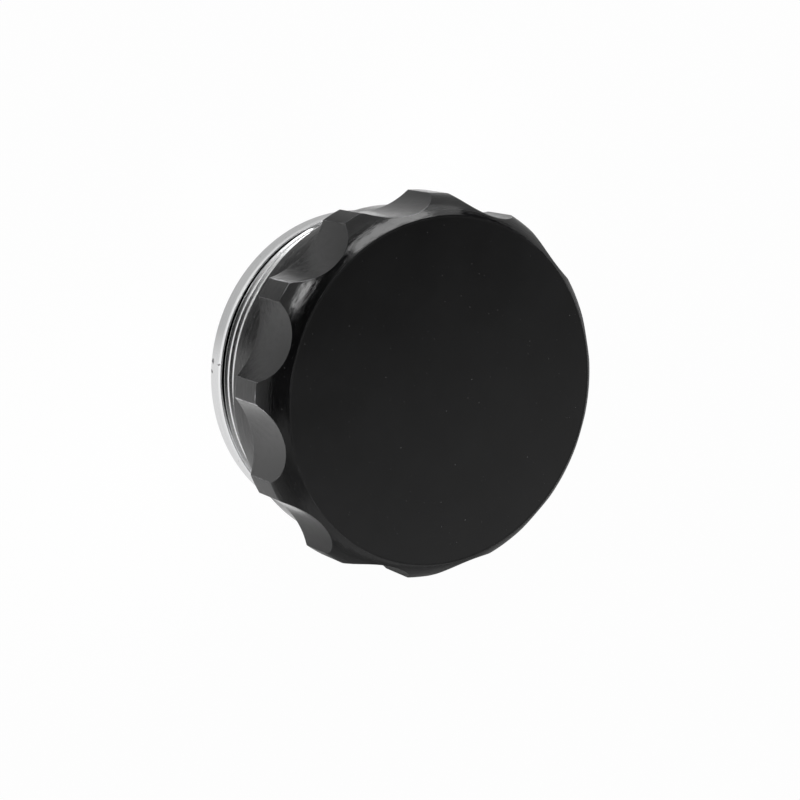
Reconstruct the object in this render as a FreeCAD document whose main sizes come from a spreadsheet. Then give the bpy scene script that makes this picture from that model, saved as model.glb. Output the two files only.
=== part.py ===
"""Weld-on filler neck with a scalloped screw cap and its gasket.

The neck is a turned tube that stands on its weld face. The cap screws over it
and squeezes a gasket between its underside and the neck's rim. Lengths are
in millimetres, +Z runs up the common axis and Z = 0 is the weld face.
"""
import FreeCAD, Part
import os
from enum import IntEnum

import Sketcher

DRIVING_SIZES = {
    # Neck
    "neck_height": 28.75,
    "thread_radius": 31.9,
    "neck_wall": 5.0,
    "band_step": 0.1,
    "band_height": 3.7,
    "band_chamfer": 0.3,
    "relief_width": 0.9,
    "relief_depth": 1.2,
    "lead_chamfer": 1.3,
    "bore_chamfer": 0.6,
    # Cap
    "thread_clearance": 0.3,
    "skirt_wall": 2.2,
    "skirt_length": 7.8,
    "mouth_chamfer": 0.8,
    "undercut_height": 2.0,
    "undercut_depth": 0.5,
    "cap_plate": 7.2,
    "land_height": 8.0,
    "bevel_height": 6.25,
    "bevel_width": 3.8,
    "bevel_crown": 0.62,
    "scallop_step": 0.85,
    "scallop_depth": 2.75,
    "scallop_cutter": 16.7,
    "scallop_count": 12,
    # Gasket and its gland
    "seat_gap": 0.3,
    "gasket_width": 3.2,
    "gasket_height": 2.4,
    "gasket_clearance": 0.05,
    "gland_clearance": 0.3,
}

# Sizes that follow from the driving ones, in the order in which they are worked out
DERIVED_SIZES = {
    "bore_radius": "thread_radius - neck_wall",
    "band_radius": "thread_radius + band_step",
    "relief_radius": "thread_radius - relief_depth",
    "relief_top": "band_height + relief_width",
    "cap_bore": "thread_radius + thread_clearance",
    "skirt_radius": "cap_bore + skirt_wall",
    "scallop_floor": "skirt_radius + scallop_step",
    "cap_radius": "scallop_floor + scallop_depth",
    "face_radius": "cap_radius - bevel_width",
    "scallop_centre": "scallop_floor + scallop_cutter",
    "undercut_radius": "cap_bore + undercut_depth",
    "bevel_chord": "sqrt( bevel_width ^ 2 + bevel_height ^ 2 )",
    "bevel_round": "bevel_chord ^ 2 / ( 8 * bevel_crown ) + bevel_crown / 2",
    "land_top": "skirt_length + land_height",
    "cap_height": "land_top + bevel_height",
    "cap_depth": "cap_height - cap_plate",
    "gasket_radius": "(bore_radius + bore_chamfer + thread_radius - lead_chamfer) / 2",
    "gasket_inner": "gasket_radius - gasket_width / 2",
    "gasket_outer": "gasket_radius + gasket_width / 2",
    "gland_depth": "gasket_height + 2 * gasket_clearance - seat_gap",
    "gland_inner": "gasket_inner - gland_clearance",
    "gland_outer": "gasket_outer + gland_clearance",
    "gasket_level": "neck_height + gasket_clearance",
    "cap_level": "neck_height + seat_gap - cap_depth",
}


class End(IntEnum):
    """The places on a sketch's line or arc that a constraint can hold."""

    START = 1
    FINISH = 2
    CENTRE = 3


class Axis(IntEnum):
    """A sketch's own axes; the first one's start is the sketch's origin."""

    ACROSS = -1
    UPRIGHT = -2


def add_sheet(doc):
    """Puts the driving sizes and the sizes that follow from them into one sheet."""
    sheet = doc.addObject("Spreadsheet::Sheet", "sizes")
    rows = [(name, str(value)) for name, value in DRIVING_SIZES.items()]
    rows += [(name, "=" + formula) for name, formula in DERIVED_SIZES.items()]
    for row, (name, content) in enumerate(rows, start=1):
        sheet.set(f"A{row}", name)
        sheet.setAlias(f"B{row}", name)
        sheet.set(f"B{row}", content)
    doc.recompute()
    return sheet


def bound(expression):
    """Writes a sheet expression with each size's name led by the sheet's name."""
    words = expression.replace("(", "( ").replace(")", " )").split()
    known = DRIVING_SIZES.keys() | DERIVED_SIZES.keys()
    return " ".join(f"sizes.{word}" if word in known else word for word in words)


def value_of(sheet, expression):
    """Works out a sheet expression now, for a sketch's first guess."""
    return float(sheet.evalExpression(bound(expression).replace("sizes.", "")))


def add_sketch(body, name, plane_role):
    """Adds a sketch on one of the body's own origin planes."""
    sketch = body.newObject("Sketcher::SketchObject", name)
    plane = next(item for item in body.Origin.OriginFeatures if item.Role == plane_role)
    sketch.AttachmentSupport = [(plane, "")]
    sketch.MapMode = "FlatFace"
    return sketch


def dimension(sketch, kind, geometry, point, name, expression, sheet):
    """Adds a named distance from the sketch's origin and binds it to the sheet."""
    value = value_of(sheet, expression)
    sketch.addConstraint(Sketcher.Constraint(kind, Axis.ACROSS, End.START, geometry, point, value))
    index = sketch.ConstraintCount - 1
    sketch.renameConstraint(index, name)
    sketch.setExpression(f"Constraints.{name}", bound(expression))


def round_off(sketch, geometry, name, expression, sheet):
    """Adds a named radius to an arc or a circle and binds it to the sheet."""
    radius = value_of(sheet, expression)
    sketch.addConstraint(Sketcher.Constraint("Radius", geometry, radius))
    sketch.renameConstraint(sketch.ConstraintCount - 1, name)
    sketch.setExpression(f"Constraints.{name}", bound(expression))


def crowned_side(start, end, radius):
    """Gives the arc of a radius from start to end that bulges out of the section."""
    chord = end - start
    outward = FreeCAD.Vector(chord.y, -chord.x, 0).normalize()
    rise = radius - (radius**2 - (chord.Length / 2) ** 2) ** 0.5
    return Part.Arc(start, (start + end) / 2 + outward * rise, end)


def draw_section(sketch, corners, sheet, crowned=None):
    """Draws a closed half section from its corners, each a radius and a height.

    A side whose ends share a radius or a height is made upright or level, so
    that each radius and height is dimensioned once. The corners run round the
    section with the solid on their left, and crowned names the radius of each
    side that is an arc by the corner where it starts.
    """
    crowned = crowned or {}
    points = [FreeCAD.Vector(value_of(sheet, r), value_of(sheet, z), 0) for r, z in corners]
    count = len(corners)
    for i, start in enumerate(points):
        end = points[(i + 1) % count]
        if i in crowned:
            side = crowned_side(start, end, value_of(sheet, crowned[i]))
        else:
            side = Part.LineSegment(start, end)
        sketch.addGeometry(side, False)
    for i in range(count):
        sketch.addConstraint(
            Sketcher.Constraint("Coincident", i, End.FINISH, (i + 1) % count, End.START)
        )
    for i, (radius, height) in enumerate(corners):
        before = corners[i - 1] if i else (None, None)
        if radius == before[0]:
            sketch.addConstraint(Sketcher.Constraint("Vertical", i - 1))
        elif radius == "0":
            sketch.addConstraint(Sketcher.Constraint("PointOnObject", i, End.START, Axis.UPRIGHT))
        else:
            dimension(sketch, "DistanceX", i, End.START, f"radius_{i}", radius, sheet)
        if height == before[1]:
            sketch.addConstraint(Sketcher.Constraint("Horizontal", i - 1))
        elif height == "0":
            sketch.addConstraint(Sketcher.Constraint("PointOnObject", i, End.START, Axis.ACROSS))
        else:
            dimension(sketch, "DistanceY", i, End.START, f"height_{i}", height, sheet)
    for i, radius in crowned.items():
        round_off(sketch, i, f"crown_{i}", radius, sheet)


def turn_section(body, sketch, name):
    """Revolves a half section a full turn about the upright axis."""
    turned = body.newObject("PartDesign::Revolution", name)
    turned.Profile = sketch
    turned.ReferenceAxis = (sketch, ["V_Axis"])
    turned.Angle = 360
    sketch.Visibility = False
    return turned


def add_body(doc, label):
    """Adds an empty body whose label names its node."""
    body = doc.addObject("PartDesign::Body", label)
    body.Label = label
    return body


def make_neck(doc, sheet):
    """Turns the neck: weld band, thread relief, thread blank with lead, and bore."""
    body = add_body(doc, "filler_neck")
    sketch = add_sketch(body, "neck_section", "XZ_Plane")
    corners = [
        ("bore_radius + bore_chamfer", "0"),
        ("band_radius", "0"),
        ("band_radius", "band_height - band_chamfer"),
        ("band_radius - band_chamfer", "band_height"),
        ("relief_radius", "band_height"),
        ("relief_radius", "relief_top"),
        ("thread_radius", "relief_top"),
        ("thread_radius", "neck_height - lead_chamfer"),
        ("thread_radius - lead_chamfer", "neck_height"),
        ("bore_radius + bore_chamfer", "neck_height"),
        ("bore_radius", "neck_height - bore_chamfer"),
        ("bore_radius", "bore_chamfer"),
    ]
    draw_section(sketch, corners, sheet)
    turn_section(body, sketch, "neck_turned")
    return body


def make_cap(doc, sheet):
    """Turns the cap with its gland, then mills the scallops round its grip."""
    body = add_body(doc, "filler_cap")
    sketch = add_sketch(body, "cap_section", "XZ_Plane")
    corners = [
        ("0", "cap_depth"),
        ("gland_inner", "cap_depth"),
        ("gland_inner", "cap_depth + gland_depth"),
        ("gland_outer", "cap_depth + gland_depth"),
        ("gland_outer", "cap_depth"),
        ("undercut_radius", "cap_depth"),
        ("undercut_radius", "cap_depth - undercut_height"),
        ("cap_bore", "cap_depth - undercut_height - undercut_depth"),
        ("cap_bore", "mouth_chamfer"),
        ("cap_bore + mouth_chamfer", "0"),
        ("skirt_radius", "0"),
        ("skirt_radius", "skirt_length"),
        ("cap_radius", "skirt_length"),
        ("cap_radius", "land_top"),
        ("face_radius", "cap_height"),
        ("0", "cap_height"),
    ]
    bevel = corners.index(("cap_radius", "land_top"))
    draw_section(sketch, corners, sheet, crowned={bevel: "bevel_round"})
    turned = turn_section(body, sketch, "cap_turned")
    doc.recompute()
    turned_volume = turned.Shape.Volume

    cutter = add_sketch(body, "scallop_outline", "XY_Plane")
    centre = FreeCAD.Vector(value_of(sheet, "scallop_centre"), 0, 0)
    circle = Part.Circle(centre, FreeCAD.Vector(0, 0, 1), value_of(sheet, "scallop_cutter"))
    cutter.addGeometry(circle, False)
    cutter.addConstraint(Sketcher.Constraint("PointOnObject", 0, End.CENTRE, Axis.ACROSS))
    dimension(cutter, "DistanceX", 0, End.CENTRE, "centre", "scallop_centre", sheet)
    round_off(cutter, 0, "cutter", "scallop_cutter", sheet)

    scallop = body.newObject("PartDesign::Pocket", "scallop")
    scallop.Profile = cutter
    scallop.Type = "ThroughAll"
    scallop.Reversed = True
    cutter.Visibility = False
    doc.recompute()
    one_scallop = turned_volume - scallop.Shape.Volume

    scallops = body.newObject("PartDesign::PolarPattern", "scallops")
    scallops.Originals = [scallop]
    scallops.Axis = (cutter, ["N_Axis"])
    scallops.Angle = 360
    scallops.setExpression("Occurrences", bound("scallop_count"))
    body.Tip = scallops
    body.setExpression("Placement.Base.z", bound("cap_level"))
    doc.recompute()
    all_scallops = turned_volume - scallops.Shape.Volume
    if one_scallop <= 0 or all_scallops <= one_scallop:
        raise RuntimeError("the scallops did not cut the grip")
    return body


def make_gasket(doc, sheet):
    """Turns the gasket, a flat ring that lies on the neck's rim."""
    body = add_body(doc, "cap_gasket")
    sketch = add_sketch(body, "gasket_section", "XZ_Plane")
    corners = [
        ("gasket_inner", "gasket_level"),
        ("gasket_outer", "gasket_level"),
        ("gasket_outer", "gasket_level + gasket_height"),
        ("gasket_inner", "gasket_level + gasket_height"),
    ]
    draw_section(sketch, corners, sheet)
    turn_section(body, sketch, "gasket_turned")
    return body


def check_document(doc, bodies):
    """Stops if any feature failed or any piece has no sound solid."""
    for item in doc.Objects:
        if {"Invalid", "Error"} & set(item.State):
            raise RuntimeError(f"{item.Name} failed: {item.State}")
    for body in bodies:
        shape = body.Shape
        if shape.isNull() or not shape.isValid() or len(shape.Solids) != 1:
            raise RuntimeError(f"{body.Label} is not one sound solid")


def main():
    doc = FreeCAD.newDocument("filler_neck_assembly")
    sheet = add_sheet(doc)
    bodies = [make_neck(doc, sheet), make_cap(doc, sheet), make_gasket(doc, sheet)]
    doc.recompute()
    check_document(doc, bodies)
    os.makedirs("parts", exist_ok=True)
    for body in bodies:
        body.Shape.exportStep(os.path.join("parts", f"{body.Label}.step"))
        box = body.Shape.optimalBoundingBox()
        print(f"{body.Label}: {body.Shape.Volume:.1f} mm3, z {box.ZMin:.2f} to {box.ZMax:.2f}")


main()
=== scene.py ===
"""Dressed model of a weld-on filler neck with its scalloped screw cap and gasket.

The three pieces are surfaces carried round the common axis, worked out on grids of angle and
section in millimetres, in the frame of the solids that they stand for. Lengths are millimetres
unless a class says otherwise; meshes, lamps and the camera are put into the scene in metres.
"""

import logging
import math
from dataclasses import dataclass, field
from enum import Enum, IntEnum
from typing import Any, Sequence, Union

import bmesh
import bpy
import numpy as np
from mathutils import Matrix, Vector


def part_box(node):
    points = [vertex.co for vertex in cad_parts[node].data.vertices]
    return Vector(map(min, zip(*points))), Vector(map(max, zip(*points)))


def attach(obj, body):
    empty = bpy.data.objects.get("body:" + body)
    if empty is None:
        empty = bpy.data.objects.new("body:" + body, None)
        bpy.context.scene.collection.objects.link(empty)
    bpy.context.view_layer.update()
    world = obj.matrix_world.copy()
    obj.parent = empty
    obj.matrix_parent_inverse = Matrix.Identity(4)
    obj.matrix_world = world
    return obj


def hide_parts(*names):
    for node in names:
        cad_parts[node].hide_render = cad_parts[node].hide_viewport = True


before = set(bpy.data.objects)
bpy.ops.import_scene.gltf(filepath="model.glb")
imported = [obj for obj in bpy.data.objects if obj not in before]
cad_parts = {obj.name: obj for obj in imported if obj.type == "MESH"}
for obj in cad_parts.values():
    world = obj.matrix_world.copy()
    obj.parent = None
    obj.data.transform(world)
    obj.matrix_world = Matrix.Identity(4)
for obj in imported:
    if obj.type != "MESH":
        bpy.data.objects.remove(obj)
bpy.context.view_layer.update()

MM = 0.001
MERGE_DISTANCE = 0.001
# mesh values for painted shade in the neck's relief and for the cap's abraded edges with painted
# highlight
WEAR_AND_PAINTED_LIGHT = "wear_and_painted_light"
LOG = logging.getLogger("filler_neck")

Array = np.ndarray
Length = Union[float, Array]
Pair = tuple[float, float]
Triple = tuple[float, float, float]


def node_span(node: str) -> Pair:
    """Gives the lowest and the highest level of a solid in the frame.

    Args:
        node: The solid's name.

    Returns:
        The two heights above the weld face, in millimetres.
    """
    low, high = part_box(node)
    return low.z / MM, high.z / MM


@dataclass
class Stretch:
    """Rows of a turned section, each a radius and a height over all the angles.

    A stretch of one row with a setback is a corner, which is eased when the section is put
    together. The finish is that of the faces which lead up to the rows. The last two say how much
    painted shade, painted highlight and abrasion to the metal the surface takes there, fully at 1:
    over its rows and at a corner's middle.
    """

    radius: Length
    height: Length
    setback: float = 0.0
    finish: Union[int, Array] = 0
    wear_and_painted_light: Length = 0.0
    edge_wear_and_painted_light: Length = 0.0


class TurnedSurface:
    """A closed surface whose section is carried round the upright axis.

    A point of the grid is (r cos a, r sin a, z), where a is the column's angle and the row gives r
    and z, each of which may change with a. The rows run along the section with the solid on
    their left, so that the faces point outwards.
    """

    EASE_STEPS = 5  # rows on the curve of an eased corner
    SIDE_SHARE = 0.45  # most of a corner's side that the curve takes up
    FLANK_SHARE = 0.6  # how far outside the curve the rows beside it stand, in setbacks
    LEAST_SIDE = 1e-9  # stands for the length of a side that has none

    def __init__(self, angles: Array, stretches: Sequence[Stretch], closed: bool) -> None:
        """Works out the grid.

        Args:
            angles: Angle of each column in radians, from 0 to a full turn.
            stretches: The section in order.
            closed: Whether the last row meets the first, as in a ring.
        """
        self.angles = angles
        self.closed = closed
        spread = [self._spread(stretch) for stretch in stretches]
        radius, height, finish, wear_and_painted_light = [], [], [], []
        for index, (stretch, (r, z)) in enumerate(zip(stretches, spread)):
            ridge = np.zeros(len(r))
            if stretch.setback > 0:
                before = spread[index - 1]
                after = spread[(index + 1) % len(spread)]
                r, z = self._eased((before[0][-1], before[1][-1]), (r[0], z[0]),
                                   (after[0][0], after[1][0]), stretch.setback)
                ridge = self._ridge()
            radius.append(r)
            height.append(z)
            faces = np.broadcast_to(stretch.finish, angles.shape)[:-1]
            finish.append(np.tile(faces, (len(r), 1)))
            wear_and_painted_light.append(np.maximum(ridge[:, None] * stretch.edge_wear_and_painted_light, stretch.wear_and_painted_light)
                        + np.zeros(r.shape))
        parts = (radius, height, finish, wear_and_painted_light)
        if closed:
            for rows in parts:
                rows.append(rows[0][:1])
        self.radius, self.height, self.finish, self.wear_and_painted_light = map(np.concatenate, parts)

    def _spread(self, stretch: Stretch) -> tuple[Array, Array]:
        """Spreads a stretch over all its rows and columns.

        Args:
            stretch: The stretch, whose sizes may be single numbers.

        Returns:
            The radii and the heights, rows by columns.
        """
        r = np.atleast_2d(np.asarray(stretch.radius, float))
        z = np.atleast_2d(np.asarray(stretch.height, float))
        shape = (max(len(r), len(z)), len(self.angles))
        return np.broadcast_to(r, shape), np.broadcast_to(z, shape)

    def _eased(self, before: tuple[Array, Array], corner: tuple[Array, Array],
               after: tuple[Array, Array], setback: float) -> tuple[Array, Array]:
        """Rounds a corner of the section.

        The curve is (1 - s)^2 A + 2 s (1 - s) C + s^2 B for s from 0 to 1, where C is the corner
        and A and B lie the setback away from it on its two sides. A further row stands outside
        each end, so that the flats beside the corner shade flat.

        Args:
            before: Radius and height of the row before the corner.
            corner: Radius and height of the corner.
            after: Radius and height of the row after the corner.
            setback: How far from the corner the curve starts and ends.

        Returns:
            The radii and the heights of the rows that take the corner's place.
        """
        point = np.stack(corner)
        back, ahead = np.stack(before) - point, np.stack(after) - point
        reach = [np.maximum(np.hypot(*side), self.LEAST_SIDE) for side in (back, ahead)]
        steps = [np.minimum(setback, self.SIDE_SHARE * length) for length in reach]
        start = point + back / reach[0] * steps[0]
        end = point + ahead / reach[1] * steps[1]
        s = np.linspace(0.0, 1.0, self.EASE_STEPS)[:, None, None]
        curve = (1 - s) ** 2 * start + 2 * s * (1 - s) * point + s**2 * end
        outer = [side + (side - point) * self.FLANK_SHARE for side in (start, end)]
        rows = np.concatenate([outer[0][None], curve, outer[1][None]])
        return rows[:, 0], rows[:, 1]

    def _ridge(self) -> Array:
        """Gives how near a corner's rows are to its middle: 4 s (1 - s) along the curve."""
        s = np.linspace(0.0, 1.0, self.EASE_STEPS)
        return np.pad(4 * s * (1 - s), 1)

    def mesh(self, name: str) -> bpy.types.Mesh:
        """Puts the grid into a mesh in metres, with its seam, poles and flattened cells closed up.

        Args:
            name: The mesh's name.

        Returns:
            The mesh, with a finish number on each face and, at each vertex, how much painted shade,
            painted highlight and abrasion it takes.
        """
        x = self.radius * np.cos(self.angles)
        y = self.radius * np.sin(self.angles)
        points = np.stack([x, y, self.height], axis=-1).reshape(-1, 3) * MM
        rows, columns = self.radius.shape
        number = np.arange(rows * columns).reshape(rows, columns)
        cells = np.stack([number[:-1, :-1], number[:-1, 1:], number[1:, 1:], number[1:, :-1]], -1)
        mesh = bpy.data.meshes.new(name)
        mesh.from_pydata(points, [], cells.reshape(-1, 4))
        mesh.polygons.foreach_set("material_index", self.finish[1:].astype(np.int32).ravel())
        wear_and_painted_light = mesh.attributes.new(WEAR_AND_PAINTED_LIGHT, "FLOAT", "POINT")
        wear_and_painted_light.data.foreach_set("value", self.wear_and_painted_light.astype(np.float32).ravel())
        shaped = bmesh.new()
        shaped.from_mesh(mesh)
        bmesh.ops.remove_doubles(shaped, verts=shaped.verts, dist=MERGE_DISTANCE * MM)
        shaped.to_mesh(mesh)
        shaped.free()
        mesh.polygons.foreach_set("use_smooth", np.ones(len(mesh.polygons), bool))
        mesh.update()
        return mesh


@dataclass(frozen=True)
class Thread:
    """A right-hand thread with flat crests and roots and straight flanks.

    The crest's middle runs along z = level + pitch * a / (2 pi) + any whole number of pitches. The
    ease is how far the rows beside a corner of the form stand from it.
    """

    pitch: float
    crest_radius: float
    root_radius: float
    crest_flat: float
    root_flat: float
    level: float
    ease: float = 0.03

    def radius_at(self, angle: Array, height: Array) -> Array:
        """Gives the thread's radius at a place.

        The distance from the nearest crest's middle, along the axis, sets the radius: the crest's
        up to half the crest's flat, the root's beyond half a pitch less half the root's flat, and
        a straight line between them.

        Args:
            angle: Angle round the axis in radians.
            height: Height above the weld face.

        Returns:
            The radius of the surface.
        """
        offset = height - self.level - self.pitch * angle / (2 * np.pi)
        nearest = np.abs(offset - self.pitch * np.round(offset / self.pitch))
        knots = [self.crest_flat / 2, (self.pitch - self.root_flat) / 2]
        return np.interp(nearest, knots, [self.crest_radius, self.root_radius])

    def rows(self, angles: Array, low: float, high: float) -> tuple[Array, Array]:
        """Gives rows that follow the thread between two level ends.

        Row k lies at z = h_k + pitch * a / (2 pi), held between the two ends, so that crests and
        roots run along rows and the last column meets the first one pitch further up. A level row
        stands at each end, a little way outside the held ones, so that the thread shades as cut off
        square.

        Args:
            angles: Angle of each column, from 0 to a full turn.
            low: Height of the lower end.
            high: Height of the upper end.

        Returns:
            The radii and the heights, rows by columns.
        """
        ease = self.ease
        crest, root = self.crest_flat / 2, (self.pitch - self.root_flat) / 2
        half = np.array([crest - ease, crest + ease, crest + 2 * ease,
                         root - 2 * ease, root - ease, root + ease])
        one_pitch = np.concatenate([-half[::-1], half, [self.pitch / 2]])
        first = math.floor((low - self.level) / self.pitch) - 1
        last = math.ceil((high - self.level) / self.pitch) + 1
        turns = np.arange(first, last + 1)[:, None] * self.pitch
        lines = (self.level + turns + one_pitch).reshape(-1, 1)
        height = np.clip(lines + self.pitch * angles / (2 * np.pi), low + ease, high - ease)
        ends = np.full((2, len(angles)), [[low], [high]])
        height = np.concatenate([ends[:1], height, ends[1:]])
        return self.radius_at(angles, height), height


def even_angles(columns: int) -> Array:
    """Gives the angles of evenly spaced columns from 0 to a full turn, both ends included."""
    return np.linspace(0.0, 2 * np.pi, columns + 1)


def degrees_from(angles: Array, middle: float) -> Array:
    """Gives how far angles in radians are from a middle, in degrees and the short way round."""
    return np.abs((np.degrees(angles) - middle + 180.0) % 360.0 - 180.0)


# Shader building

Operand = Union["Value", float]
Colour = Union[Sequence[float], bpy.types.NodeSocket]

BLACK = (0.0, 0.0, 0.0)
WHITE = (1.0, 1.0, 1.0)


class Value:
    """A number that varies over a surface: a socket that takes part in arithmetic."""

    def __init__(self, tree: bpy.types.NodeTree, socket: bpy.types.NodeSocket) -> None:
        """Wraps an output socket of a node tree."""
        self.tree = tree
        self.socket = socket

    def _math(self, operation: str, *operands: Operand) -> "Value":
        """Adds a Math node.

        Args:
            operation: What the node works out.
            operands: Its values or numbers, in order.

        Returns:
            The result.
        """
        node = self.tree.nodes.new("ShaderNodeMath")
        node.operation = operation
        for place, operand in zip(node.inputs, operands):
            if isinstance(operand, Value):
                self.tree.links.new(operand.socket, place)
            else:
                place.default_value = operand
        return Value(self.tree, node.outputs[0])

    def __add__(self, other: Operand) -> "Value":
        """Adds another value or number."""
        return self._math("ADD", self, other)

    __radd__ = __add__

    def __mul__(self, other: Operand) -> "Value":
        """Multiplies by another value or number."""
        return self._math("MULTIPLY", self, other)

    __rmul__ = __mul__

    def __sub__(self, other: Operand) -> "Value":
        """Takes another value or number away."""
        return self._math("SUBTRACT", self, other)

    def __rsub__(self, other: Operand) -> "Value":
        """Takes this value away from a number."""
        return self._math("SUBTRACT", other, self)

    def __truediv__(self, other: Operand) -> "Value":
        """Divides by another value or number."""
        return self._math("DIVIDE", self, other)

    def __rtruediv__(self, other: Operand) -> "Value":
        """Divides a number by this value."""
        return self._math("DIVIDE", other, self)

    def __pow__(self, power: Operand) -> "Value":
        """Raises to a power."""
        return self._math("POWER", self, power)

    def __rpow__(self, base: Operand) -> "Value":
        """Raises a number to this value."""
        return self._math("POWER", base, self)

    def angle_from(self, across: "Value") -> "Value":
        """Gives the angle whose tangent is this value over another."""
        return self._math("ARCTAN2", self, across)

    def step(self, low: float, high: float) -> "Value":
        """Rises evenly from 0 to 1 between two levels and is held there outside them.

        Args:
            low: The level at which the result is 0.
            high: The level at which it is 1, which may be the lesser of the two.

        Returns:
            The held value.
        """
        scaled = (self - low) / (high - low)
        scaled.socket.node.use_clamp = True
        return scaled


class Octaves(Enum):
    """The number of a noise's octaves, and how strong the finer ones are."""

    PLAIN = (2.0, 0.5)
    BLOTCHED = (4.0, 0.5)
    BROKEN = (3.0, 0.6)
    RAGGED = (4.0, 0.6)


@dataclass
class ShaderTree:
    """The node tree of one material or of the world."""

    tree: bpy.types.NodeTree

    def add(self, kind: str, settings: dict[str, Any] | None = None,
            **sockets: Any) -> bpy.types.Node:
        """Adds any node.

        Args:
            kind: The node's type.
            settings: Properties of the node, set before its sockets.
            sockets: Values or links by the socket's name, with spaces written as underscores.

        Returns:
            The node.
        """
        node = self.tree.nodes.new(kind)
        for name, setting in (settings or {}).items():
            setattr(node, name, setting)
        for name, content in sockets.items():
            place = self._input(node, name.replace("_", " "))
            if isinstance(content, Value):
                self.tree.links.new(content.socket, place)
            elif isinstance(content, bpy.types.NodeSocket):
                self.tree.links.new(content, place)
            elif place.type == "RGBA":
                place.default_value = (*content, 1.0)
            else:
                place.default_value = content
        return node

    @staticmethod
    def _input(node: bpy.types.Node, name: str) -> bpy.types.NodeSocket:
        """Finds a node's enabled input by its name."""
        return next(place for place in node.inputs if place.name == name and place.enabled)

    def value(self, node: bpy.types.Node, output: str | int = 0) -> Value:
        """Wraps an output of a node for arithmetic."""
        return Value(self.tree, node.outputs[output])

    def mixed(self, share: Value, first: Colour, second: Colour) -> bpy.types.NodeSocket:
        """Mixes two colours.

        Args:
            share: How much of the second colour shows.
            first: Colour at 0.
            second: Colour at 1.

        Returns:
            The mixed colour's socket.
        """
        node = self.add("ShaderNodeMix", {"data_type": "RGBA"}, Factor=share, A=first, B=second)
        return next(result for result in node.outputs if result.enabled)

    def grey(self, level: Value) -> bpy.types.NodeSocket:
        """Gives the grey of a level, which lies between 0 and 1."""
        return self.mixed(level, BLACK, WHITE)


class PieceTree(ShaderTree):
    """The node tree of a material, with the place on the piece at hand.

    The place is in millimetres: x, y and z, the distance from the axis and the angle round it.
    """

    def __init__(self, material: bpy.types.Material) -> None:
        """Clears the material's tree and adds the coordinates.

        Args:
            material: The material, whose nodes are all made anew.
        """
        material.use_nodes = True
        super().__init__(material.node_tree)
        self.tree.nodes.clear()
        place = self.add("ShaderNodeTexCoord").outputs["Object"]
        scaled = self.add("ShaderNodeVectorMath", {"operation": "SCALE"}, Vector=place,
                          Scale=1 / MM)
        parts = self.add("ShaderNodeSeparateXYZ", Vector=scaled.outputs[0])
        self.x, self.y, self.z = (self.value(parts, axis) for axis in "XYZ")
        self.radius = (self.x * self.x + self.y * self.y) ** 0.5
        self.angle = self.y.angle_from(self.x)

    def noise(self, along: Operand, across: Operand, third: Operand,
              octaves: Octaves = Octaves.PLAIN) -> Value:
        """Adds noise over any three values.

        Args:
            along: First coordinate, one grain to the unit.
            across: Second coordinate.
            third: Third coordinate.
            octaves: How broken the noise is.

        Returns:
            The noise, about 0.5 on average.
        """
        vector = self.add("ShaderNodeCombineXYZ", X=along, Y=across, Z=third)
        detail, roughness = octaves.value
        node = self.add("ShaderNodeTexNoise", {"noise_dimensions": "3D"}, Vector=vector.outputs[0],
                        Scale=1.0, Detail=detail, Roughness=roughness)
        return self.value(node)

    def cloud(self, scale: float, octaves: Octaves = Octaves.PLAIN) -> Value:
        """Adds noise that is alike in all directions, with so many grains to the millimetre."""
        return self.noise(self.x * scale, self.y * scale, self.z * scale, octaves)

    def attribute(self, name: str) -> Value:
        """Reads a number that the mesh holds at each vertex."""
        return self.value(self.add("ShaderNodeAttribute", {"attribute_name": name}), "Fac")

    def bump(self, height: Value, depth: float = 1.0) -> bpy.types.NodeSocket:
        """Turns a height into a normal, where the depth is the millimetres to a height of 1."""
        node = self.add("ShaderNodeBump", Strength=1.0, Distance=depth * MM, Height=height)
        return node.outputs[0]

    def shade(self, **sockets: Any) -> None:
        """Adds the surface shader and the output."""
        shader = self.add("ShaderNodeBsdfPrincipled", **sockets)
        self.add("ShaderNodeOutputMaterial", Surface=shader.outputs[0])


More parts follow.
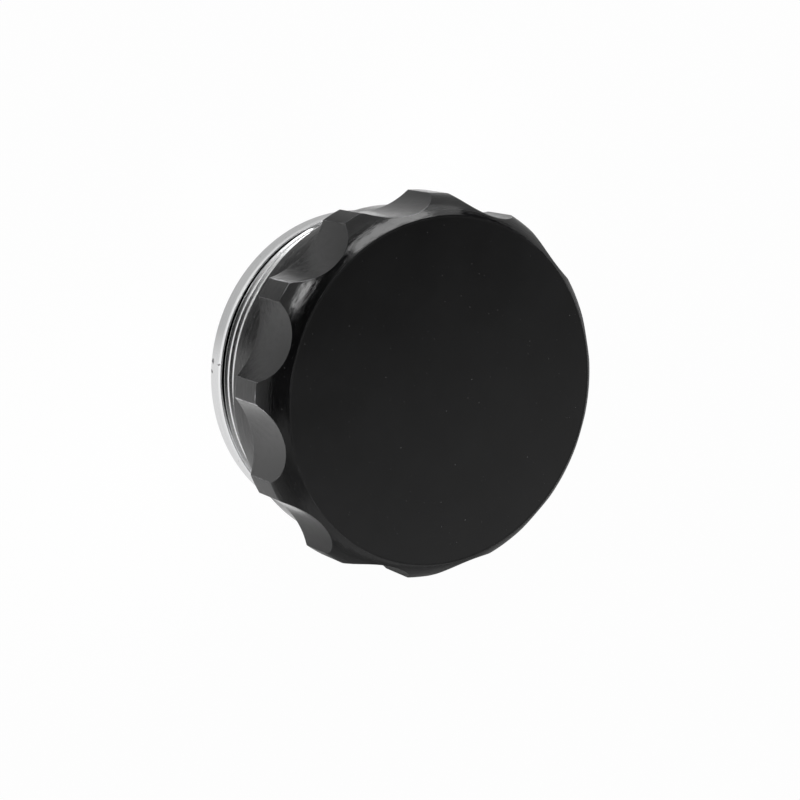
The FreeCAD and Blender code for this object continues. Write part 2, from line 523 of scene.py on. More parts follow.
@dataclass(frozen=True)
class BareAluminium:
    """Bare turned aluminium: bright, with tool lines round the axis and a few dark handling marks.

    A dab is a mark at a chosen place: its angle in degrees, its height and its two half widths.
    Where the mesh says so, the metal is painted near black as shade in the thread relief. The
    scales are grains to the millimetre or, round the axis, to the radian: up, outwards and round
    for the tool lines, and level and up for the grain. A band is the two levels between which an
    effect sets in.
    """

    name: str = "bare_aluminium"
    colour: Triple = (0.91, 0.913, 0.92)
    mark_colour: Triple = (0.28, 0.28, 0.29)
    # painted shade: near black put into the thread relief where the cap shades it
    painted_shade_colour: Triple = (0.02, 0.02, 0.02)
    roughness: float = 0.16
    line_roughness: float = 0.18
    line_depth: float = 0.004
    line_scale: Triple = (9.0, 7.0, 0.6)
    grain_scale: Pair = (1.6, 1.1)
    mark_band: Pair = (0.735, 0.76)
    dab_strength: float = 0.3
    dab_band: Pair = (0.1, 1.0)
    dabs: tuple[tuple[float, float, float, float], ...] = (
        (-78.0, 0.7, 0.7, 0.9), (-74.3, 0.5, 0.5, 0.6), (-77.5, 3.2, 0.4, 0.7))

    def dab(self, tree: PieceTree, angle: float, height: float, across: float, up: float) -> Value:
        """Gives one dab: 1 less a step over (aside / across)^2 + (above / up)^2.

        Args:
            tree: The material's tree.
            angle: Degrees round the axis of the dab's middle.
            height: Height of its middle.
            across: Its half width round the piece.
            up: Its half width along the axis.

        Returns:
            The dab, 1 at its middle and 0 outside its half widths.
        """
        aside = (tree.angle - math.radians(angle)) * tree.radius / across
        above = (tree.z - height) / up
        return 1.0 - (aside * aside + above * above).step(*self.dab_band)

    def material(self) -> bpy.types.Material:
        """Builds the material.

        Returns:
            The material.
        """
        material = bpy.data.materials.new(self.name)
        tree = PieceTree(material)
        up, outwards, around = self.line_scale
        lines = tree.noise(tree.z * up + tree.radius * outwards, tree.angle * around, 0.0,
                           Octaves.BROKEN)
        level, up = self.grain_scale
        marks = tree.noise(tree.x * level, tree.y * level, tree.z * up)
        for place in self.dabs:
            marks = marks + self.dab(tree, *place) * self.dab_strength
        marked = tree.mixed(marks.step(*self.mark_band), self.colour, self.mark_colour)
        tree.shade(
            # painted shade in the thread relief, where the mesh asks for it
            Base_Color=tree.mixed(tree.attribute(WEAR_AND_PAINTED_LIGHT), marked, self.painted_shade_colour),
            Metallic=1.0,
            Roughness=lines * self.line_roughness + self.roughness,
            Normal=tree.bump(lines, self.line_depth),
        )
        return material


@dataclass(frozen=True)
class BlackAnodise:
    """Black anodised aluminium: tool lines, scuffs, edges abraded to bright metal and partly
    painted as highlight, and specks of dust.

    The tool lines run round the axis where the piece is turned and along it where it is milled.
    Scuffs are longer streaks the same way, which break up the gloss beyond the rim of the face,
    and the face is satin. The depths are in millimetres. The scales are grains to the millimetre
    or, round the axis, to the radian, across the lines first. A band is the two levels between
    which an effect sets in, and the rim's band is two radii.
    """

    name: str
    milled: bool
    roughness: float
    scuffing: float
    line_depth: float
    scuff_depth: float
    line_scale: Pair
    scuff_scale: Pair
    scuff_octaves: Octaves
    colour: Triple = (0.002, 0.002, 0.0022)
    bare_and_highlight_colour: Triple = (0.72, 0.72, 0.74)
    haze_colour: Triple = (0.006, 0.006, 0.0064)
    dust_colour: Triple = (0.22, 0.22, 0.22)
    ior: float = 1.65
    face_satin: float = 0.14
    line_roughness: float = 0.06
    scuff_layer: float = 4.0
    scuff_band: Pair = (0.4, 0.7)
    rim_band: Pair = (33.8, 34.6)
    dust_scale: float = 2.2
    dust_band: Pair = (0.755, 0.785)
    rub_and_highlight_scale: float = 0.25
    rub_and_highlight_band: Pair = (0.42, 0.66)
    rub_and_highlight_least: float = 0.15
    haze_scale: float = 0.09
    haze_band: Pair = (0.35, 0.65)

    def material(self) -> bpy.types.Material:
        """Builds the material.

        Returns:
            The material.
        """
        material = bpy.data.materials.new(self.name)
        tree = PieceTree(material)
        if self.milled:
            across, along = tree.angle, tree.z
        else:
            across, along = tree.radius - tree.z, tree.angle
        lines = tree.noise(across * self.line_scale[0], along * self.line_scale[1], 0.0,
                           Octaves.BROKEN)
        scuffs = tree.noise(across * self.scuff_scale[0], along * self.scuff_scale[1],
                            self.scuff_layer, self.scuff_octaves)
        dust = tree.cloud(self.dust_scale).step(*self.dust_band)
        # edges turn light metal: partly real abrasion, partly painted highlight
        rubbed_and_highlit = tree.cloud(self.rub_and_highlight_scale, Octaves.BROKEN).step(*self.rub_and_highlight_band)
        worn_and_highlit = tree.attribute(WEAR_AND_PAINTED_LIGHT) * (rubbed_and_highlit * (1.0 - self.rub_and_highlight_least) + self.rub_and_highlight_least)
        bare_and_highlit = worn_and_highlit.step(0.0, 1.0)
        rim = tree.radius.step(*self.rim_band)
        haze = tree.cloud(self.haze_scale, Octaves.BROKEN).step(*self.haze_band)
        hazy = tree.mixed(haze, self.colour, self.haze_colour)
        dusty = tree.mixed(dust, hazy, self.dust_colour)
        tree.shade(
            Base_Color=tree.mixed(bare_and_highlit, dusty, self.bare_and_highlight_colour),
            Metallic=bare_and_highlit,
            Roughness=(lines * self.line_roughness
                       + scuffs.step(*self.scuff_band) * rim * self.scuffing
                       + (1.0 - rim) * self.face_satin + self.roughness),
            IOR=self.ior,
            Normal=tree.bump(lines * self.line_depth + scuffs * rim * self.scuff_depth),
        )
        return material


TURNED_BLACK = BlackAnodise(
    "black_anodise_turned", milled=False, roughness=0.06, scuffing=0.19, line_depth=0.001,
    scuff_depth=0.05, line_scale=(6.0, 1.5), scuff_scale=(1.3, 14.0),
    scuff_octaves=Octaves.BROKEN)
MILLED_BLACK = BlackAnodise(
    "black_anodise_milled", milled=True, roughness=0.1, scuffing=0.1, line_depth=0.006,
    scuff_depth=0.03, line_scale=(90.0, 0.3), scuff_scale=(30.0, 0.5),
    scuff_octaves=Octaves.RAGGED)


@dataclass(frozen=True)
class GasketRubber:
    """Smooth moulded black rubber with a dull bloom; its scales are grains to the millimetre."""

    name: str = "gasket_rubber"
    colour: Triple = (0.016, 0.016, 0.016)
    bloom_colour: Triple = (0.045, 0.045, 0.047)
    bloom_scale: float = 0.35
    bloom_roughness: float = 0.2
    roughness: float = 0.5
    grain_scale: float = 6.0
    grain_depth: float = 0.01

    def material(self) -> bpy.types.Material:
        """Builds the material.

        Returns:
            The material.
        """
        material = bpy.data.materials.new(self.name)
        tree = PieceTree(material)
        bloom = tree.cloud(self.bloom_scale, Octaves.BLOTCHED)
        grain = tree.cloud(self.grain_scale)
        tree.shade(
            Base_Color=tree.mixed(bloom, self.colour, self.bloom_colour),
            Roughness=bloom * self.bloom_roughness + self.roughness,
            Normal=tree.bump(grain, self.grain_depth),
        )
        return material


# The pieces

PITCH = 2.0
THREAD_LEVEL = 3.71


def finish_piece(name: str, surface: TurnedSurface, materials: Sequence[bpy.types.Material],
                 body: str) -> bpy.types.Object:
    """Makes the object of a piece, which takes the place of the solid of the same name.

    Args:
        name: Name of the solid, which is also the piece's own after a prefix.
        surface: The piece's surface.
        materials: Its materials, by finish number.
        body: The body that it moves with.

    Returns:
        The object.
    """
    piece = bpy.data.objects.new(f"dressed_{name}", surface.mesh(name))
    bpy.context.scene.collection.objects.link(piece)
    for material in materials:
        piece.data.materials.append(material)
    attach(piece, body)
    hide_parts(name)
    return piece


@dataclass
class FillerNeck:
    """The turned neck: weld band, thread relief, outside thread with a lead, rim and bore.

    The painted shade's middle and its outer and inner reach are in degrees round the axis.
    """

    bottom: float
    top: float
    band_radius: float = 32.0
    band_height: float = 4.0
    band_chamfer: float = 0.12
    band_taper: float = 0.11
    band_taper_height: float = 0.8
    relief_radius: float = 30.7
    relief_width: float = 0.8
    painted_shade_middle: float = 260.0
    painted_shade_reach: Pair = (50.0, 32.0)
    bore_radius: float = 26.9
    bore_chamfer: float = 0.6
    lead_chamfer: float = 1.3
    run_in_step: float = 0.5
    run_in_slope: float = 1.2
    edge: float = 0.08
    columns: int = 360
    lead_rows: int = 12
    thread: Thread = field(default_factory=lambda: Thread(
        pitch=PITCH, crest_radius=31.9, root_radius=30.8, crest_flat=0.7, root_flat=0.06,
        level=THREAD_LEVEL))

    def surface(self) -> TurnedSurface:
        """Carries the neck's section round the axis.

        The section runs from the bore's lower chamfer out along the weld face, up the band, the
        relief and the thread, over the rim and down the bore. At both ends of the thread the
        radius is the lesser of the thread's and a cone's: the run-in over the relief and the lead.

        Returns:
            The surface.
        """
        angles = even_angles(self.columns)
        band_top = self.bottom + self.band_height
        relief_top = band_top + self.relief_width
        lead_start = self.top - self.lead_chamfer
        thread_r, thread_z = self.thread.rows(angles, relief_top, lead_start)
        run_in = self.relief_radius + self.run_in_step + (thread_z - relief_top) * self.run_in_slope
        thread_r = np.minimum(thread_r, run_in)
        lead_z = np.linspace(lead_start, self.top, self.lead_rows)[1:-1, None]
        cone = self.thread.crest_radius - (lead_z - lead_start)
        lead_r = np.minimum(self.thread.radius_at(angles, lead_z), cone)
        rim_radius = self.thread.crest_radius - self.lead_chamfer
        bore_mouth = self.bore_radius + self.bore_chamfer
        # painted shade on one side of the thread relief, under the cap
        painted_shade = self.painted_shade(angles)
        tapered = self.band_radius - self.band_taper
        wall_top = band_top - self.band_chamfer
        stretches = [
            Stretch(bore_mouth, self.bottom, self.edge),
            Stretch(self.band_radius, self.bottom, self.edge),
            Stretch(self.band_radius, wall_top - self.band_taper_height, self.edge),
            Stretch(tapered, wall_top, self.edge),
            Stretch(tapered - self.band_chamfer, band_top, self.edge, edge_wear_and_painted_light=painted_shade),
            Stretch(tapered - 2 * self.band_chamfer, band_top, wear_and_painted_light=painted_shade),
            Stretch(self.relief_radius, band_top, self.edge, wear_and_painted_light=painted_shade),
            Stretch(self.relief_radius, relief_top, self.edge, wear_and_painted_light=painted_shade),
            Stretch(thread_r, thread_z),
            Stretch(lead_r, lead_z),
            Stretch(rim_radius, self.top, self.edge),
            Stretch(bore_mouth, self.top, self.edge),
            Stretch(self.bore_radius, self.top - self.bore_chamfer, self.edge),
            Stretch(self.bore_radius, self.bottom + self.bore_chamfer, self.edge),
        ]
        return TurnedSurface(angles, stretches, closed=True)

    def painted_shade(self, angles: Array) -> Array:
        """Gives how much painted shade the relief takes round the neck.

        The painted shade is full within its inner reach and falls evenly to nothing at its outer
        one.

        Args:
            angles: Angle of each column in radians.

        Returns:
            The painted shade at each column, from 0 to 1.
        """
        outer, inner = self.painted_shade_reach
        away = degrees_from(angles, self.painted_shade_middle)
        return np.clip((outer - away) / (outer - inner), 0.0, 1.0)

    def build(self) -> bpy.types.Object:
        """Makes the neck and gives its object."""
        return finish_piece("filler_neck", self.surface(), [BareAluminium().material()],
                            "neck")


class CapFinish(IntEnum):
    """Finish numbers of the cap's faces."""

    TURNED = 0
    MILLED = 1


@dataclass
class FillerCap:
    """The screw cap: face, crowned bevel, scalloped grip, skirt, inside thread and gland.

    A rub is a place where the grip's edges are abraded to bright metal and painted as highlight:
    an angle and a half width in degrees, and a strength. The wall step, the thread step and the
    face
    ring place single rows: above the grip's lower edge, below the thread and, as a share of its
    radius, on the face.
    """

    mouth: float
    face: float
    radius: float = 38.0
    face_radius: float = 34.2
    bevel_height: float = 6.25
    bevel_crown: float = 0.62
    land_height: float = 8.0
    scallop_count: int = 12
    scallop_floor: float = 35.25
    scallop_cutter: float = 16.7
    skirt_radius: float = 34.4
    mouth_chamfer: float = 0.8
    bore_radius: float = 32.2
    undercut_height: float = 2.0
    undercut_depth: float = 0.5
    plate: float = 7.2
    gland_inner: float = 27.15
    gland_outer: float = 30.95
    gland_depth: float = 2.2
    edge: float = 0.11
    rub_and_highlight_width: float = 0.15
    edge_wear_and_painted_light: float = 0.18
    face_edge_wear_and_highlight: float = 0.05
    # painted highlight, partly real abrasion: the grip's edges show bright metal at these places
    rubs_and_highlights: tuple[Triple, ...] = (
        (-108.4, 4.0, 4.0), (-71.6, 4.0, 2.0), (-147.0, 11.0, 4.0), (172.0, 9.0, 4.0))
    inner_edge: float = 0.08
    scallop_columns: int = 12
    edge_columns: int = 9
    land_columns: int = 4
    bevel_rows: int = 16
    wall_step: float = 0.5
    thread_step: float = 0.01
    face_ring: float = 0.5
    thread: Thread = field(default_factory=lambda: Thread(
        pitch=PITCH, crest_radius=31.0, root_radius=32.2, crest_flat=0.16, root_flat=0.5,
        level=THREAD_LEVEL + PITCH / 2))

    @property
    def period(self) -> float:
        """Angle from one scallop's middle to the next, in radians."""
        return 2 * math.pi / self.scallop_count

    @property
    def cutter_reach(self) -> float:
        """Distance from the axis to the middle of the cutter."""
        return self.scallop_floor + self.scallop_cutter

    @property
    def land_edge(self) -> float:
        """Angle from a scallop's middle to the edge of a land, in radians."""
        squares = self.cutter_reach**2 + self.radius**2 - self.scallop_cutter**2
        return math.acos(squares / (2 * self.cutter_reach * self.radius))

    def angles(self) -> Array:
        """Gives the columns' angles, closest together at the edges of the lands.

        Returns:
            The angles in radians, from 0 to a full turn.
        """
        break_angle = 2 * self.edge / self.radius
        scallop_end, land_start = self.land_edge - break_angle, self.land_edge + break_angle
        half = np.concatenate([
            np.linspace(0.0, scallop_end, self.scallop_columns)[:-1],
            np.linspace(scallop_end, land_start, self.edge_columns)[:-1],
            np.linspace(land_start, self.period / 2, self.land_columns)[:-1],
        ])
        one = np.concatenate([half, self.period - half[:0:-1], [self.period / 2]])
        every = np.sort(one) + self.period * np.arange(self.scallop_count)[:, None]
        return np.append(every.ravel(), 2 * math.pi)

    def grip_radius(self, angles: Array) -> tuple[Array, Array]:
        """Gives the grip's radius round the cap.

        With d the angle from the nearest scallop's middle, D the cutter's distance from the axis
        and c its radius, the cutter's wall lies at D cos d - sqrt(c^2 - D^2 sin^2 d). The grip has
        the lesser of that and the land's radius, eased over a width w: less
        (w - |difference|)^2 / (4 w) where the two differ by less than w.

        Args:
            angles: Angle of each column in radians.

        Returns:
            The radius at each column, and how near the column is to a land's edge, from 0 to 1.
        """
        d = angles - self.period * np.round(angles / self.period)
        inside = np.maximum(self.scallop_cutter**2 - (self.cutter_reach * np.sin(d)) ** 2, 0.0)
        wall = self.cutter_reach * np.cos(d) - np.sqrt(inside)
        apart = np.abs(wall - self.radius)
        gap = np.maximum(self.edge - apart, 0.0)
        near_edge = np.maximum(1.0 - apart / self.rub_and_highlight_width, 0.0)
        return np.minimum(wall, self.radius) - gap**2 / (4 * self.edge), near_edge

    def edge_rub_and_highlight(self, angles: Array) -> Array:
        """Gives how far the grip's edges are abraded to bright metal and painted as highlight round
        the cap.

        A rub's wear is its strength times 1 - (d / half width)^2 where d, the angle from it, is
        less than the half width.

        Args:
            angles: Angle of each column in radians.

        Returns:
            The amount at each column, over 1 where the edge shows metal whatever its grain.
        """
        wear_and_painted_light = np.full(angles.shape, self.edge_wear_and_painted_light)
        for angle, half_width, strength in self.rubs_and_highlights:
            away = degrees_from(angles, angle) / half_width
            wear_and_painted_light += strength * np.maximum(1.0 - away**2, 0.0)
        return wear_and_painted_light

    def bevel_arc(self, grip: Array) -> tuple[Array, Array]:
        """Gives the crowned bevel from the grip up to the face.

        The bevel is an arc through the land's top corner and the face's edge whose middle stands
        the crown outside their chord. Its angle runs from where the arc has the grip's radius to
        the face's edge.

        Args:
            grip: The grip's radius at each column.

        Returns:
            The radii and the heights, rows by columns, with both ends.
        """
        land_top = self.face - self.bevel_height
        start, end = np.array([self.radius, land_top]), np.array([self.face_radius, self.face])
        chord = end - start
        length = np.hypot(*chord)
        round_radius = length**2 / (8 * self.bevel_crown) + self.bevel_crown / 2
        outward = np.array([chord[1], -chord[0]]) / length
        centre = (start + end) / 2 + outward * (self.bevel_crown - round_radius)
        from_angle = np.arccos((grip - centre[0]) / round_radius)
        to_angle = np.arctan2(end[1] - centre[1], end[0] - centre[0])
        share = np.linspace(0.0, 1.0, self.bevel_rows)[:, None]
        turn = from_angle + (to_angle - from_angle) * share
        return centre[0] + round_radius * np.cos(turn), centre[1] + round_radius * np.sin(turn)

    def surface(self) -> TurnedSurface:
        """Carries the cap's section round the axis.

        The section runs from the middle of the underside out over the gland, the undercut and the
        inside thread to the mouth, then up the skirt, out under the grip, up the grip's wall and
        over the bevel to the middle of the face.

        Returns:
            The surface.
        """
        angles = self.angles()
        grip, near_edge = self.grip_radius(angles)
        back = self.face - self.bevel_height - self.land_height
        under = self.face - self.plate
        gland_top = under + self.gland_depth
        thread_top = under - self.undercut_height - self.undercut_depth
        thread_low = self.mouth + self.mouth_chamfer
        thread_r, thread_z = self.thread.rows(angles, thread_low, thread_top)
        bevel_r, bevel_z = self.bevel_arc(grip)
        wall = np.where(grip < self.radius - self.edge, CapFinish.MILLED, CapFinish.TURNED)
        # painted highlight along the grip's edges, partly real abrasion
        edge_rub_and_highlight = self.edge_rub_and_highlight(angles)
        rubbed_and_highlit = near_edge * edge_rub_and_highlight
        undercut = self.bore_radius + self.undercut_depth
        stretches = [
            Stretch(0.0, under),
            Stretch(self.gland_inner, under, self.inner_edge),
            Stretch(self.gland_inner, gland_top, self.inner_edge),
            Stretch(self.gland_outer, gland_top, self.inner_edge),
            Stretch(self.gland_outer, under, self.inner_edge),
            Stretch(undercut, under, self.inner_edge),
            Stretch(undercut, under - self.undercut_height, self.inner_edge),
            Stretch(self.bore_radius, thread_top),
            Stretch(thread_r[::-1], thread_z[::-1]),
            Stretch(self.bore_radius, thread_low - self.thread_step),
            Stretch(self.bore_radius + self.mouth_chamfer, self.mouth, self.inner_edge),
            Stretch(self.skirt_radius, self.mouth, self.inner_edge),
            Stretch(self.skirt_radius, back, self.edge),
            Stretch(grip, back, self.edge, wear_and_painted_light=rubbed_and_highlit, edge_wear_and_painted_light=self.edge_wear_and_painted_light),
            Stretch(grip, back + self.wall_step, finish=wall, wear_and_painted_light=rubbed_and_highlit),
            Stretch(bevel_r[0], bevel_z[0], self.edge, wall, rubbed_and_highlit, edge_rub_and_highlight),
            Stretch(bevel_r[1:-1], bevel_z[1:-1]),
            Stretch(self.face_radius, self.face, self.edge, edge_wear_and_painted_light=self.face_edge_wear_and_highlight),
            Stretch(self.face_radius * self.face_ring, self.face),
            Stretch(0.0, self.face),
        ]
        return TurnedSurface(angles, stretches, closed=False)

    def build(self) -> bpy.types.Object:
        """Makes the cap and gives its object."""
        materials = [TURNED_BLACK.material(), MILLED_BLACK.material()]
        return finish_piece("filler_cap", self.surface(), materials, "cap")


@dataclass
class CapGasket:
    """The flat rubber gasket that the cap squeezes on the neck's rim."""

    bottom: float
    top: float
    inner_radius: float = 27.45
    outer_radius: float = 30.65
    edge: float = 0.35
    columns: int = 240

    def surface(self) -> TurnedSurface:
        """Carries the gasket's rounded section round the axis.

        Returns:
            The surface.
        """
        stretches = [
            Stretch(self.inner_radius, self.bottom, self.edge),
            Stretch(self.outer_radius, self.bottom, self.edge),
            Stretch(self.outer_radius, self.top, self.edge),
            Stretch(self.inner_radius, self.top, self.edge),
        ]
        return TurnedSurface(even_angles(self.columns), stretches, closed=True)

    def build(self) -> bpy.types.Object:
        """Makes the gasket and gives its object."""
        return finish_piece("cap_gasket", self.surface(), [GasketRubber().material()],
                            "gasket")


# The studio


def sight_axes(azimuth: float, elevation: float, roll: float) -> Matrix:
    """Gives the axes of something that looks at the object.

    Args:
        azimuth: Degrees round the object; 0 stands at -Y, 90 at +X.
        elevation: Degrees above the floor.
        roll: Degrees that the picture's upright is turned counter-clockwise.

    Returns:
        A turn whose columns are the picture's right, its up and the way back to the viewer.
    """
    a, e = math.radians(azimuth), math.radians(elevation)
    back = Vector((math.sin(a) * math.cos(e), -math.cos(a) * math.cos(e), math.sin(e)))
    right = Vector((math.cos(a), math.sin(a), 0.0))
    upright = Matrix((right, back.cross(right), back)).transposed()
    return upright @ Matrix.Rotation(math.radians(roll), 3, "Z")


@dataclass(frozen=True)
class PhotoCamera:
    """The camera at the photo's place, which looks down on the cap with its upright far turned.

    The lens and the sensor are in millimetres, the nearest and farthest sight in metres.
    """

    azimuth: float = -1.23
    elevation: float = 56.744
    roll: float = 106.941
    distance: float = 424.27
    aim: Triple = (3.758, -6.617, 31.965)
    lens: float = 99.0
    sensor: float = 36.0
    sight: Pair = (0.01, 50.0)

    def build(self) -> None:
        """Makes the camera and hands it to the scene."""
        data = bpy.data.cameras.new("photo_camera")
        data.lens = self.lens
        data.sensor_width = self.sensor
        data.clip_start, data.clip_end = self.sight
        camera = bpy.data.objects.new("photo_camera", data)
        axes = sight_axes(self.azimuth, self.elevation, self.roll)
        camera.matrix_world = axes.to_4x4()
        camera.location = (Vector(self.aim) + axes.col[2] * self.distance) * MM
        bpy.context.scene.collection.objects.link(camera)
        bpy.context.scene.camera = camera


def place_lamp(data: bpy.types.Light, azimuth: float, elevation: float, roll: float,
               distance: float, aim: Sequence[float]) -> bpy.types.Object:
    """Puts a lamp into the scene so that it faces its aim.

    Args:
        data: The lamp's data.
        azimuth: Degrees round the aim.
        elevation: Degrees above it.
        roll: Degrees that the lamp is turned about its own axis.
        distance: Metres from the aim.
        aim: The place that the lamp faces, in millimetres.

    Returns:
        The lamp.
    """
    lamp = bpy.data.objects.new(data.name, data)
    axes = sight_axes(azimuth, elevation, roll)
    lamp.matrix_world = axes.to_4x4()
    lamp.location = axes.col[2] * distance + Vector(aim) * MM
    bpy.context.scene.collection.objects.link(lamp)
    return lamp


@dataclass(frozen=True)
class SoftBox:
    """A rectangular soft lamp that faces its aim; its distance and its size are in metres.

    The brightness is that of the lit panel itself, on a scale where white paper in full light is 1.
    A mirrored one shows only in reflections; any other gives light but shows in none.
    """

    name: str
    azimuth: float
    elevation: float
    roll: float
    distance: float
    width: float
    height: float
    brightness: float
    mirrored: bool = False
    aim: Triple = (0.0, 0.0, 0.0)

    def build(self) -> None:
        """Makes the lamp, whose power is the brightness times pi times the panel's area."""
        data = bpy.data.lights.new(self.name, "AREA")
        data.shape = "RECTANGLE"
        data.size, data.size_y = self.width, self.height
        data.energy = self.brightness * math.pi * self.width * self.height
        lamp = place_lamp(data, self.azimuth, self.elevation, self.roll, self.distance, self.aim)
        lamp.visible_glossy = self.mirrored
        lamp.visible_diffuse = not self.mirrored
        lamp.visible_camera = False


@dataclass(frozen=True)
class SpotLamp:
    """A round lamp whose soft-edged beam makes a pool of light at its aim on the floor.

    The level is the light that falls on a sheet facing the lamp at its aim, in units that make
    white paper look white at pi. The radius and the distance are in metres, the beam in degrees.
    """

    name: str
    azimuth: float
    elevation: float
    distance: float
    radius: float
    beam: float
    level: float
    aim: Triple

    def build(self) -> None:
        """Makes the lamp, whose power is 4 pi times the level times the distance squared."""
        data = bpy.data.lights.new(self.name, "SPOT")
        data.shadow_soft_size = self.radius
        data.spot_size = math.radians(self.beam)
        data.spot_blend = 1.0
        data.energy = 4 * math.pi * self.level * self.distance**2
        lamp = place_lamp(data, self.azimuth, self.elevation, 0.0, self.distance, self.aim)
        lamp.visible_glossy = False


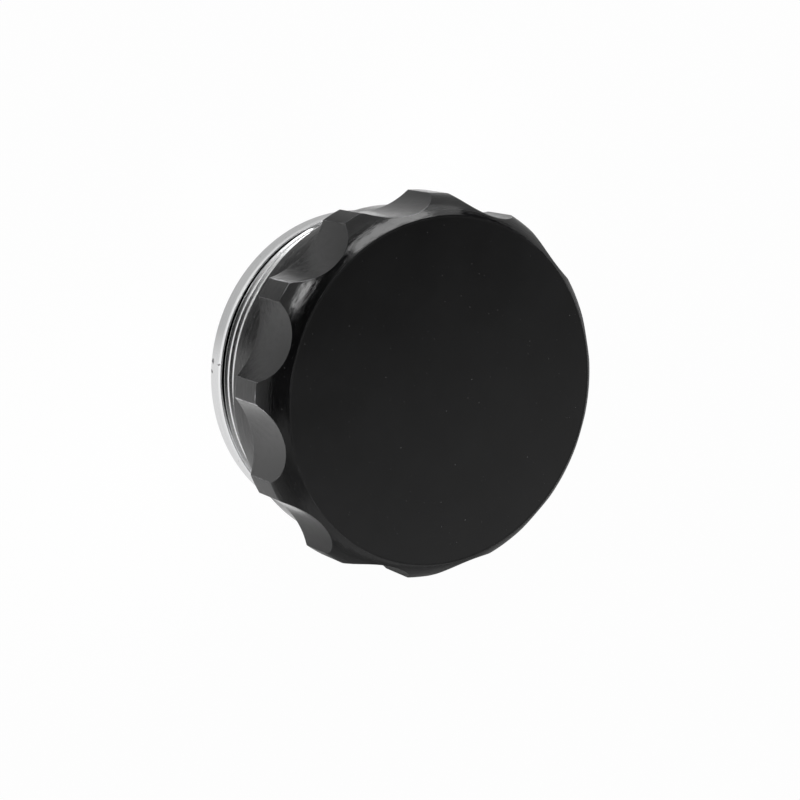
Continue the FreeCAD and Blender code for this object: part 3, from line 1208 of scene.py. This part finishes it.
@dataclass(frozen=True)
class Studio:
    """The white floor, the dim surroundings and the lamps.

    Reflections show the floor with a painted contact shadow, a white ring and a painted shaded zone
    round the axis, and the plain floor beyond them. A pair of whites is a zone's level on its dark
    and its lit side.
    The reaches and sides are in millimetres, each from where a change starts to where it ends. A
    band is the same in parts of a direction, and a way is the direction of a light part of the
    surroundings. The floor's own reach is in metres.
    """

    floor_reach: float = 6.0
    floor_colour: Triple = (0.7, 0.7, 0.7)
    white_in_view: float = 0.98
    # painted contact shadow: the floor's tone near the axis as reflections see it
    contact_shadow_white: Pair = (0.47, 0.74)
    ring_white: float = 1.0
    shade_white: Pair = (0.15, 0.65)
    contact_reach: Pair = (34.3, 35.6)
    ring_reach: Pair = (39.0, 42.5)
    shade_reach: Pair = (46.0, 48.5)
    lit_side: Pair = (0.0, 8.0)
    front_side: Pair = (-22.0, -34.0)
    surround_dark: float = 0.01
    surround_light: float = 0.42
    least_light: float = 0.01
    beside_band: Pair = (0.42, 0.62)
    beside_fade: Pair = (0.55, 0.8)
    beside_loss: float = 0.7
    overhead_way: Pair = (0.65, 0.76)
    overhead_band: Pair = (0.37, 0.48)
    camera_band: Pair = (-0.72, -0.86)
    glow_way: Triple = (-0.63, -0.11, 0.77)
    glow_band: Pair = (0.88, 0.97)
    side_glow: float = 0.6
    # Boxes: azimuth, elevation, roll, distance, width, height, brightness, mirrored, aim.
    # Spots: azimuth, elevation, distance, radius, beam, level, aim.
    lamps: tuple[Union[SoftBox, SpotLamp], ...] = (
        SoftBox("top_box", -80.0, 21.0, 0.0, 0.7, 0.58, 0.32, 3.5),
        SoftBox("middle_box", -45.0, 22.0, 0.0, 0.7, 0.3, 0.25, 1.3),
        SoftBox("front_box", -25.0, 11.0, 0.0, 0.7, 0.18, 0.27, 4.4),
        SoftBox("top_panel", -80.0, 0.0, 18.0, 0.09, 0.062, 0.03, 3.5, True, (3.6, -20.2, 54.6)),
        SoftBox("side_panel", -80.0, 0.0, 0.0, 0.09, 0.024, 0.03, 0.8, True, (-3.7, 20.7, 44.0)),
        SoftBox("front_panel", -25.0, 8.3, 0.0, 0.35, 0.09, 0.098, 4.4, True),
        SpotLamp("near_pool", 40.0, 60.0, 0.9, 0.03, 4.4, 4.3, (29.0, -36.0, 0.0)),
        SpotLamp("left_pool", 20.0, 60.0, 0.9, 0.01, 1.4, 1.6, (5.0, -47.0, 0.0)),
        SpotLamp("edge_pool", -40.0, 60.0, 0.9, 0.01, 1.5, 3.4, (-23.0, -38.0, 0.0)),
        SpotLamp("far_pool", -95.0, 60.0, 0.9, 0.02, 3.0, 4.9, (-38.0, 8.0, 0.0)),
    )

    def build(self) -> None:
        """Sets up the floor, the world and the lamps."""
        self._floor()
        self._world()
        for lamp in self.lamps:
            lamp.build()
        bpy.context.scene.view_settings.view_transform = "Standard"

    def _floor(self) -> None:
        """Makes the floor, which looks white but still takes the object's shadow, and shows painted
        shade near the axis in reflections.
        """
        reach = self.floor_reach
        mesh = bpy.data.meshes.new("floor")
        mesh.from_pydata([(-reach, -reach, 0), (reach, -reach, 0), (reach, reach, 0),
                          (-reach, reach, 0)], [], [(0, 1, 2, 3)])
        floor = bpy.data.objects.new("floor", mesh)
        bpy.context.scene.collection.objects.link(floor)
        material = bpy.data.materials.new("white_floor")
        tree = PieceTree(material)
        path = tree.add("ShaderNodeLightPath")
        gloss = tree.value(path, "Is Glossy Ray") + tree.value(path, "Is Transmission Ray")
        lit, front = tree.x.step(*self.lit_side), tree.y.step(*self.front_side)
        # painted shade in the floor as reflections see it: a contact shadow near the axis and a
        # shaded zone in front, both lighter on the lit side
        contact_shadow, shade = (lit * (light - dark) + dark
                          for dark, light in (self.contact_shadow_white, self.shade_white))
        reaches = (self.contact_reach, self.ring_reach, self.shade_reach)
        ring, beyond, far = (tree.radius.step(*reach) for reach in reaches)
        paper = (contact_shadow * (1.0 - ring) + ring * self.ring_white) * (1.0 - beyond) + shade * beyond
        near = 1.0 - beyond + front * (beyond - far)
        seen = tree.value(path, "Is Camera Ray")
        share = seen * self.white_in_view + gloss * near
        matt = tree.add("ShaderNodeBsdfDiffuse", Color=self.floor_colour)
        tone = tree.mixed(seen, tree.grey(paper), WHITE)
        white = tree.add("ShaderNodeEmission", Color=tone, Strength=1.0)
        mix = tree.add("ShaderNodeMixShader", Fac=share)
        tree.tree.links.new(matt.outputs[0], mix.inputs[1])
        tree.tree.links.new(white.outputs[0], mix.inputs[2])
        tree.add("ShaderNodeOutputMaterial", Surface=mix.outputs[0])
        floor.data.materials.append(material)

    def _world(self) -> None:
        """Gives the surroundings a dim light that falls off to near black behind the camera."""
        world = bpy.data.worlds.new("surroundings")
        bpy.context.scene.world = world
        world.use_nodes = True
        tree = ShaderTree(world.node_tree)
        tree.tree.nodes.clear()
        direction = tree.add("ShaderNodeTexCoord").outputs["Generated"]
        parts = tree.add("ShaderNodeSeparateXYZ", Vector=direction)
        x, y, z = (tree.value(parts, axis) for axis in "XYZ")
        beside = x.step(*self.beside_band) * (1.0 - x.step(*self.beside_fade) * self.beside_loss)
        overhead = (x * self.overhead_way[0] + y * self.overhead_way[1]).step(*self.overhead_band)
        lit = 1.0 - (1.0 - beside) * (1.0 - overhead)
        behind_camera = y.step(*self.camera_band)
        level = (lit * (self.surround_light - self.surround_dark) + self.surround_dark
                 ) * (1.0 - behind_camera) + self.least_light
        facing = x * self.glow_way[0] + y * self.glow_way[1] + z * self.glow_way[2]
        glow = facing.step(*self.glow_band) * self.side_glow
        light = tree.add("ShaderNodeBackground", Color=tree.grey(level + glow), Strength=1.0)
        tree.add("ShaderNodeOutputWorld", Surface=light.outputs[0])


def main() -> None:
    """Builds the pieces in order and reports each, then builds the studio and the camera."""
    logging.basicConfig(level=logging.INFO, format="%(name)s: %(message)s")
    assemblies = (FillerNeck(*node_span("filler_neck")), CapGasket(*node_span("cap_gasket")),
                  FillerCap(*node_span("filler_cap")))
    for assembly in assemblies:
        piece = assembly.build()
        LOG.info("%s: %d faces", piece.name, len(piece.data.polygons))
    Studio().build()
    PhotoCamera().build()


if __name__ == "__main__":
    main()
